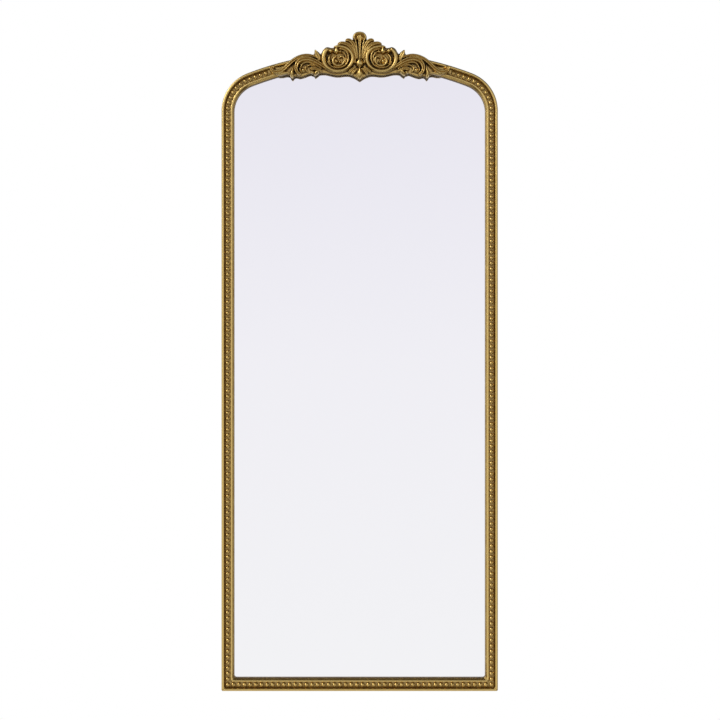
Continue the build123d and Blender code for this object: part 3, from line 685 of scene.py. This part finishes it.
# The right spray: the main curl, a long leaf with a tail, ridges inside the curl, a sprout, and drops below
sprayStrokes = [
    # the main curl
    stroke([(80, -3.5, 4.0, 9), (92, 3.8, 5.4, 11), (105, 12, 6.6, 12.4), (118, 19, 7.3, 13.2),
            (131, 23, 7.5, 13.6), (143.5, 22.6, 7.5, 13.8), (153.6, 17.8, 7.4, 13.8),
            (160.4, 9.8, 7.0, 13.6), (162.8, 0.4, 6.4, 13.2), (161, -8, 5.8, 12.8), (156, -13.4, 5.0, 12.2),
            (150, -14.6, 4.0, 11)], reeds=2, groove=0.4, dome=2.7, lean=0.1),
    # the long leaf and its tail
    stroke([(104, 26, 2.6, 7), (118, 31.4, 3.8, 9), (133, 33.8, 4.6, 10), (147.4, 32, 5.2, 10.6),
            (161, 26.4, 5.8, 11), (173, 18.2, 6.3, 11.4), (183.8, 8.6, 6.7, 11.4), (193.6, -0.8, 7.0, 11.4),
            (204.4, -7.4, 7.2, 11), (215.6, -8.8, 6.8, 10.6), (224.4, -5, 5.8, 10.2), (228, 1.8, 4.4, 9.8),
            (225.4, 7.2, 3.0, 8.6)], reeds=2, groove=0.42, dome=2.6, lean=-0.14),
    # the ridge inside the curl
    stroke([(97, -2, 1.8, 6), (108.5, 5.6, 2.4, 8.4), (120, 11.6, 2.8, 9.4), (131, 14.8, 2.9, 10),
            (140.4, 14.2, 2.9, 10), (147.4, 9.6, 2.8, 9.8), (151, 3, 2.4, 9), (151, -2.6, 1.6, 8)]),
    # the ball
    knob(145, -5.6, 6.4, 6.4, 12.6),
    # a spur beside the ball
    stroke([(150.6, 3.5, 1.2, 8.5), (152.6, -1.6, 2.6, 10.8), (152, -7.4, 2.4, 10.2),
            (148.6, -11.6, 1.2, 8)]),
    # the lower leaf
    stroke([(95, -7.5, 2.4, 5.5), (104.5, -3.8, 3.7, 7.4), (114, -0.6, 4.9, 8.8), (122.8, -0.6, 5.4, 9.4),
            (128, -3.6, 3.8, 8.4)], reeds=2, groove=0.46, dome=2.5),
    # its rim
    stroke([(109, 3.6, 1.4, 5), (118, 7.2, 2.4, 7.2), (127, 8.2, 2.8, 8), (133.6, 5.4, 2.6, 7.6),
            (136.6, -0.4, 1.6, 6)]),
    # a short stem
    stroke([(137.6, 8.5, 1.4, 5.5), (139.6, 2.4, 2.4, 7), (137.4, -5, 2.8, 7.2), (132, -10.4, 2.0, 6)]),
    # a knop below it
    knob(121, -9.5, 5.4, 3.6, 5.5, 10),
    # the first drop
    stroke([(104, -5, 3.6, 7), (109.5, -8.6, 5.4, 8.6), (113.2, -13, 4.4, 8), (114.8, -18.4, 1.4, 5)],
           dome=1.5),
    # the sprout
    stroke([(102.6, 18, 3.4, 7), (105.4, 28, 7.4, 9.6), (109.4, 36.4, 7.8, 10.4), (112.8, 43.4, 4.4, 9.4),
            (114.8, 48, 1.2, 6.4)], reeds=2, groove=0.34, dome=1.7, ends=(0.8, 0.4)),
    # the second drop
    stroke([(170.4, 10, 1.3, 7.5), (171, 2, 2.4, 9.6), (172.4, -5.6, 4.4, 11.6), (174, -12.4, 6.2, 12.4),
            (174, -18.6, 4.6, 10.4), (173, -24.2, 1.4, 6)], dome=1.7, ends=(0.6, 0.5)),
    # the ball in the tail
    knob(220.6, 3.4, 5.2, 5.0, 11.4),
    # the swelling along the lower edge
    stroke([(176, -12.5, 2.2, 6), (188, -11, 3.4, 7), (200, -13.4, 3.2, 6.4), (211, -14.8, 2.0, 5)]),
]

rightHalf = smoothRun(crest["outline"], crest["stepOfOutline"])
groundLine = np.concatenate([rightHalf, rightHalf[-2:0:-1] * (-1, 1)])


def groundShell():
    # A slab with the crest's outline: the back face, the foot of the front edge, and the front face
    levels = np.array([crest["backDepth"], crest["slabDepth"]])[:, None]
    levels = np.broadcast_to(levels, (2, len(groundLine)))
    return sweptShell(onCrest(groundLine[None, :, 0], groundLine[None, :, 1], levels))


def shrunkOutline(outline, distance):
    # Each point moves inward, square to the line between its two neighbours
    alongLine = np.roll(outline, -1, axis=0) - np.roll(outline, 1, axis=0)
    size = np.hypot(*alongLine.T)[:, None] + 1e-9
    return outline + np.stack([alongLine[:, 1], -alongLine[:, 0]], axis=-1) / size * distance


seatLine = shrunkOutline(groundLine, crest["seatMargin"])


def seatOfCrest(x, height):
    return insideOutline(seatLine, x, height - crest["datum"])


members = {
    "leftStile": ("left_stile", memberShell(stilePath, [0])),
    "rightStile": ("right_stile", mirroredShell(memberShell(stilePath, [0]))),
    "bottomRail": ("bottom_rail", memberShell(railPath, [0, -1])),
    "leftShoulder": ("left_shoulder", memberShell(shoulderPath)),
    "rightShoulder": ("right_shoulder", mirroredShell(memberShell(shoulderPath))),
    "crownRail": ("crown_rail", memberShell(crownPath, seat=seatOfCrest)),
}
for name, (node, shell) in members.items():
    makeMember(name, node, shell)
print("moulding made")

# The beads: half balls on a thin strip in the channel
beading = {
    "inset": 16.25,
    "radius": 6.0,
    "middleDepth": 22.3,
    "alongSide": 103,
    "alongBottom": 48,
    "roundShoulder": 11,
    "ringPatinaAndHighlight": [0.82, 0.30, 0.0, 0.22],  # brown patina at the foot, a painted highlight on the rim
    # a painted darker reflection on the top of each bead
    "topPaintedReflection": 0.50,
    "stripPatina": 0.66,
}
beadLine = halfWidth - beading["inset"]
beadPitch = (springHeight - beading["inset"]) / (beading["alongSide"] + 0.5)
stripSection = np.array([(10, 19.4), (10, 21.2), (10.4, 21.5), (22.1, 21.5), (22.5, 21.2), (22.5, 19.4)])


def beadShells(x, height):
    # Every bead is rings of 12 points at rising angles and a pole, all beads worked out at once
    climb = np.radians([-12, 16, 42, 66])
    around = np.radians(np.arange(0, 360, 30))
    ringX = beading["radius"] * np.cos(climb)[:, None] * np.cos(around)
    ringH = beading["radius"] * np.cos(climb)[:, None] * np.sin(around)
    ringDepth = np.repeat(beading["middleDepth"] + beading["radius"] * np.sin(climb), 12)
    oneX = np.append(ringX.ravel(), 0)
    oneH = np.append(ringH.ravel(), 0)
    oneDepth = np.append(ringDepth, beading["middleDepth"] + beading["radius"])
    # each bead's values: patina at the foot, a painted highlight on the rim, a painted darker reflection on the
    # top
    onePatinaAndReflection = np.append(np.repeat(beading["ringPatinaAndHighlight"], 12), beading["topPaintedReflection"])
    points = placed(x[:, None] + oneX, height[:, None] + oneH, oneDepth)
    quads = gridFaces(4, 12)
    cap = np.stack([36 + np.arange(12), 36 + (np.arange(12) + 1) % 12, np.full(12, 48)], axis=-1)
    starts = np.arange(len(x))[:, None, None] * len(oneX)
    faces = (quads + starts).reshape(-1, 4).tolist() + (cap + starts).reshape(-1, 3).tolist()
    faces += (np.arange(12)[::-1] + starts[:, 0]).tolist()
    return points.reshape(-1, 3), faces, np.tile(onePatinaAndReflection, len(x))


def makeBeading(name, node, path, x, height, flip=False):
    stripX, stripHeight = path(stripSection[:, 0])
    depth = np.broadcast_to(stripSection[:, 1], stripX.shape)
    strip = sweptShell(placed(stripX, stripHeight, depth), np.full(stripX.shape, beading["stripPatina"]))
    shell = joined([strip, beadShells(x, height)])
    piece = makePiece(name, mirroredShell(shell) if flip else shell, [gildedBeads], 60)
    settle(piece, node)


sideHeights = beading["inset"] + beadPitch * np.arange(1, beading["alongSide"] + 1)
sideX = np.full(beading["alongSide"], -beadLine)
bottomX = np.linspace(-beadLine, beadLine, beading["alongBottom"])
turnRadius = moulding["shoulderRadius"] - beading["inset"]
shoulderArc = math.pi / 2 - crownLean


def alongArch(runs, insets):
    # Round the shoulder, then on along the crown; runs are lengths on the line of the beads
    turn = np.minimum(runs / turnRadius, shoulderArc)
    past = np.maximum(runs - turnRadius * shoulderArc, 0) / (moulding["crownRadius"] - beading["inset"])
    onShoulder = moulding["shoulderRadius"] - insets
    onCrown = moulding["crownRadius"] - insets
    turnX = -moulding["shoulderCentre"] - onShoulder * np.cos(turn)
    turnHeight = springHeight + onShoulder * np.sin(turn)
    x = np.where(past > 0, -onCrown * np.sin(crownLean - past), turnX)
    height = np.where(past > 0, crownCentre + onCrown * np.cos(crownLean - past), turnHeight)
    return x, height


def archPath(insets):
    return alongArch(np.linspace(0, beadPitch * beading["roundShoulder"], 60)[:, None], insets)


beadRuns = (np.arange(beading["roundShoulder"]) + 0.5) * beadPitch
shoulderX, shoulderHeight = alongArch(beadRuns, beading["inset"])
makeBeading("leftBeading", "left_beading", stilePath, sideX, sideHeights)
makeBeading("rightBeading", "right_beading", stilePath, sideX, sideHeights, flip=True)
makeBeading("bottomBeading", "bottom_beading", railPath, bottomX, np.full(len(bottomX), beading["inset"]))
makeBeading("leftShoulderBeading", "left_shoulder_beading", archPath, shoulderX, shoulderHeight)
makeBeading("rightShoulderBeading", "right_shoulder_beading", archPath, shoulderX, shoulderHeight, flip=True)
print("beading made")

casting = {
    "crest_ground": castPiece("crestGround", [groundShell()], crest["groundVoxel"], crest["groundSmoothing"]),
}
for node, name, strokes in (
    ("crest_palmette", "crestPalmette", palmetteMiddle + palmetteSide + flipped(palmetteSide)),
    ("right_scroll", "rightScroll", scrollStrokes),
    ("left_scroll", "leftScroll", flipped(scrollStrokes)),
    ("right_spray", "rightSpray", sprayStrokes),
    ("left_spray", "leftSpray", flipped(sprayStrokes)),
):
    casting[node] = castPiece(name, strokes, crest["carvingVoxel"], crest["carvingSmoothing"])


def readPoints(mesh):
    points = np.empty(len(mesh.vertices) * 3)
    mesh.vertices.foreach_get("co", points)
    normals = np.empty(len(mesh.vertices) * 3)
    mesh.vertices.foreach_get("normal", normals)
    return points.reshape(-1, 3) / mm, normals.reshape(-1, 3)


# Patina: a chart of the crest's front, cells of 1 mm, holds the foremost depth; softened charts of it say how
# far a point lies below what surrounds it
chartLow = np.array([-245.0, 205.0])
chartSize = (490, 160)
chart = np.full(chartSize, -crest["backDepth"] - wallGap)
for piece in casting.values():
    points, normals = readPoints(piece.data)
    cell = np.clip((points[:, [0, 2]] - chartLow).astype(int), 0, np.array(chartSize) - 1)
    np.minimum.at(chart, (cell[:, 0], cell[:, 1]), points[:, 1])


def softened(values, spread):
    # A Gaussian blur, done as a product of transforms
    fx = np.fft.fftfreq(values.shape[0])[:, None]
    fh = np.fft.fftfreq(values.shape[1])[None, :]
    return np.fft.ifft2(np.fft.fft2(values) * np.exp(-2 * (math.pi * spread) ** 2 * (fx**2 + fh**2))).real


def chartAt(values, points):
    place = np.clip(points[:, [0, 2]] - chartLow - 0.5, 0, np.array(chartSize) - 1.001)
    low = place.astype(int)
    share = place - low
    i, j = low.T
    u, v = share.T
    return (values[i, j] * (1 - u) * (1 - v) + values[i + 1, j] * u * (1 - v)
            + values[i, j + 1] * (1 - u) * v + values[i + 1, j + 1] * u * v)


nearChart, wideChart = softened(chart, 1.3), softened(chart, 4.0)
patina = crest["patina"]
backLimit = -(crest["strokeFloor"] + wallGap + 1) * mm  # faces behind this that look back are the casting's back
for node, piece in casting.items():
    points, normals = readPoints(piece.data)
    below = points[:, 1] - chartAt(nearChart, points)
    sunk = points[:, 1] - chartAt(wideChart, points)
    # painted shade: faces that look down get more of the patina, so they come out darker
    under = np.clip(-normals[:, 2], 0, 1)
    values = patina["plain"] + patina["near"] * below + patina["wide"] * sunk + patina["under"] * under
    setPatinaAndPaintedLight(piece.data, values)
    facing = np.empty(len(piece.data.polygons) * 3)
    piece.data.polygons.foreach_get("normal", facing)
    centre = np.empty(len(piece.data.polygons) * 3)
    piece.data.polygons.foreach_get("center", centre)
    back = (facing.reshape(-1, 3)[:, 1] > 0.6) & (centre.reshape(-1, 3)[:, 1] > backLimit)
    piece.data.polygons.foreach_set("material_index", back.astype(np.int32))
    settle(piece, node)
print("crest made")

# What the CAD shapes already right: the pane, the sheets behind it and all the fittings on the back
finishOfSlot = {
    "mirror": silveredGlass, "card": greyCard, "board": hardboard, "beech": beechWood, "zinc_steel": zincPlate,
    "rubber": softRubber, "gilt_wood": gildedWood, "gilt_casting": gildedCasting,
}
for part in frame["record"]["subparts"]:
    node = frame["nodes"][part["node"]]
    node.data.materials.clear()
    node.data.materials.append(finishOfSlot[part["material_slot"]])
print("fittings finished")

# The stage: a pale floor below the mirror, soft lamps, a white world, and the camera where the picture was taken
stage = {
    "floorHeight": -1.98,
    "floorRadius": 1.1,
    "cameraPlace": (0.0008, -3.030, -0.4915),
    "lens": 58.3,
    "worldDiffuse": 0.52,
    "floorGlow": 0.72,
    # name, place, target, width, height, and the light given by each part of its face
    "lamps": [
        ("leftSoftbox", (-2.0, -1.8, 0.6), (0, 0, -0.3), 0.9, 2.8, 5.4),
        ("rightStrip", (2.2, -1.5, -0.4), (0, 0, -0.5), 0.5, 2.0, 3.0),
        ("overheadSoftbox", (-0.5, -1.7, 2.2), (0, 0, 0), 1.6, 0.7, 2.0),
        ("backFill", (0.6, 2.6, 0.8), (0, 0, -0.4), 1.8, 1.8, 1.0),
    ],
    # towards which place, where the sides fade in degrees, where it fades up and down, and its colour
    "panels": [
        ((-2.0, -1.7), (10, 34), (-0.6, -0.25, 0.6, 0.85), (0.96, 0.955, 0.94, 1)),
        ((-2.2, -1.5), (5, 17), (0.20, 0.46, 0.62, 0.88), (8.0, 7.8, 7.4, 1)),
        ((2.2, -1.5), (4, 18), (-0.6, -0.30, 0.3, 0.6), (0.93, 0.925, 0.92, 1)),
    ],
}


def discShell(radius, height, rings=24, sides=96):
    reach = np.linspace(0.02, radius, rings)[:, None]
    around = np.linspace(0, 2 * math.pi, sides, endpoint=False)[None, :]
    points = np.stack(np.broadcast_arrays(reach * np.cos(around), reach * np.sin(around), height), axis=-1)
    faces = gridFaces(rings, sides).tolist() + [list(range(sides))]
    return points.reshape(-1, 3), faces, np.zeros(rings * sides)


floor = makePiece("floor", discShell(stage["floorRadius"], stage["floorHeight"]), [])
floorFinish, paint = newFinish("paleFloor")
place = paint.add("ShaderNodeTexCoord", output=3)
path = "ShaderNodeLightPath"
seen = paint.add(path, output="Is Camera Ray") + paint.add(path, output="Is Glossy Ray") * 0.5
seen = seen + paint.add(path, output="Is Transmission Ray")
mottle = paint.blend(paint.noise(place, 2.0), (0.84, 0.84, 0.84, 1), (0.86, 0.86, 0.86, 1))
matt = paint.add("ShaderNodeBsdfDiffuse", {}, {"Color": mottle})
glow = paint.add("ShaderNodeEmission", {}, {"Color": (1, 1, 1, 1), "Strength": 1.0})
closeFinish(paint, paint.add("ShaderNodeMixShader", {}, {0: seen * stage["floorGlow"], 1: matt, 2: glow}))
floor.data.materials.append(floorFinish)


def lamp(name, place, target, width, height, brightness):
    # Its power follows from its size
    light = bpy.data.lights.new(name, "AREA")
    light.shape = "RECTANGLE"
    light.size, light.size_y = width, height
    light.energy = brightness * math.pi * width * height
    lampObject = bpy.data.objects.new(name, light)
    lampObject.location = place
    aim = np.subtract(target, place)
    tilt = math.atan2(math.hypot(aim[0], aim[1]), -aim[2])
    lampObject.rotation_euler = (tilt, 0, math.atan2(-aim[0], aim[1]))
    lampObject.visible_glossy = False
    bpy.context.scene.collection.objects.link(lampObject)


# The lamps light the frame; glossy surfaces see soft panels in the world, which have no hard edge in the glass
for row in stage["lamps"]:
    lamp(*row)

world = bpy.data.worlds.new("studio")
world.use_nodes = True
bpy.context.scene.world = world
paint = Paint(world.node_tree)
direction = paint.add("ShaderNodeTexCoord", output=0)
sideways = paint.add("ShaderNodeSeparateXYZ", {}, {"Vector": direction}, output=0)
ahead = paint.add("ShaderNodeSeparateXYZ", {}, {"Vector": direction}, output=1)
rising = paint.add("ShaderNodeSeparateXYZ", {}, {"Vector": direction}, output=2)
# What glossy surfaces see: pale lavender ahead, and darker overhead and towards the ground
upward = rising * 0.5 + 0.5
studioTint = paint.add("ShaderNodeValToRGB", {"stops": [
    (0.00, (0.22, 0.19, 0.15, 1)), (0.22, (0.36, 0.33, 0.28, 1)), (0.35, (0.93, 0.93, 0.945, 1)),
    (0.50, (0.905, 0.895, 0.940, 1)), (0.60, (0.85, 0.835, 0.91, 1)), (0.65, (0.80, 0.785, 0.87, 1)),
    (0.78, (0.34, 0.33, 0.34, 1)), (1.00, (0.22, 0.21, 0.21, 1)),
]}, {"Fac": upward})
beside = paint.between(ahead, -0.88, -0.62)
sideShade = paint.blend(sideways * 0.5 + 0.5, (0.80, 0.79, 0.77, 1), (0.40, 0.39, 0.38, 1))
multiply = {"data_type": "RGBA", "blend_type": "MULTIPLY"}
shadedTint = paint.add("ShaderNodeMix", multiply, {0: 1.0, 6: studioTint, 7: sideShade}, output=2)
studioTint = paint.blend(beside, studioTint, shadedTint)
level = (1.0001 - rising * rising) ** -0.5


def panel(place, turn, reach):
    # A soft panel seen towards a place: turn is where its sides fade, reach is where it fades up and down
    size = math.hypot(place[0], place[1])
    towards = (sideways * (place[0] / size) + ahead * (place[1] / size)) * level
    sides = paint.between(towards, math.cos(math.radians(turn[1])), math.cos(math.radians(turn[0])))
    return sides * paint.between(rising, reach[0], reach[1]) * paint.between(rising, reach[3], reach[2])


for place, turn, reach, colour in stage["panels"]:
    studioTint = paint.blend(panel(place, turn, reach), studioTint, colour)
reflected = paint.add(path, output="Is Glossy Ray")
camera = paint.add(path, output="Is Camera Ray") + paint.add(path, output="Is Transmission Ray")
lighting = paint.blend(reflected, (stage["worldDiffuse"],) * 3 + (1,), studioTint)
sky = paint.blend(camera, lighting, (1, 1, 1, 1))
background = paint.add("ShaderNodeBackground", {}, {"Color": sky, "Strength": 1.0})
output = world.node_tree.nodes.new("ShaderNodeOutputWorld")
world.node_tree.links.new(background.socket, output.inputs["Surface"])

scene = bpy.context.scene
cameraData = bpy.data.cameras.new("camera")
cameraData.lens = stage["lens"]
cameraData.sensor_width = 36.0
cameraObject = bpy.data.objects.new("camera", cameraData)
cameraObject.location = stage["cameraPlace"]
cameraObject.rotation_euler = (math.radians(90), 0, 0)
scene.collection.objects.link(cameraObject)
scene.camera = cameraObject
scene.view_settings.view_transform = "Standard"
print("stage set")
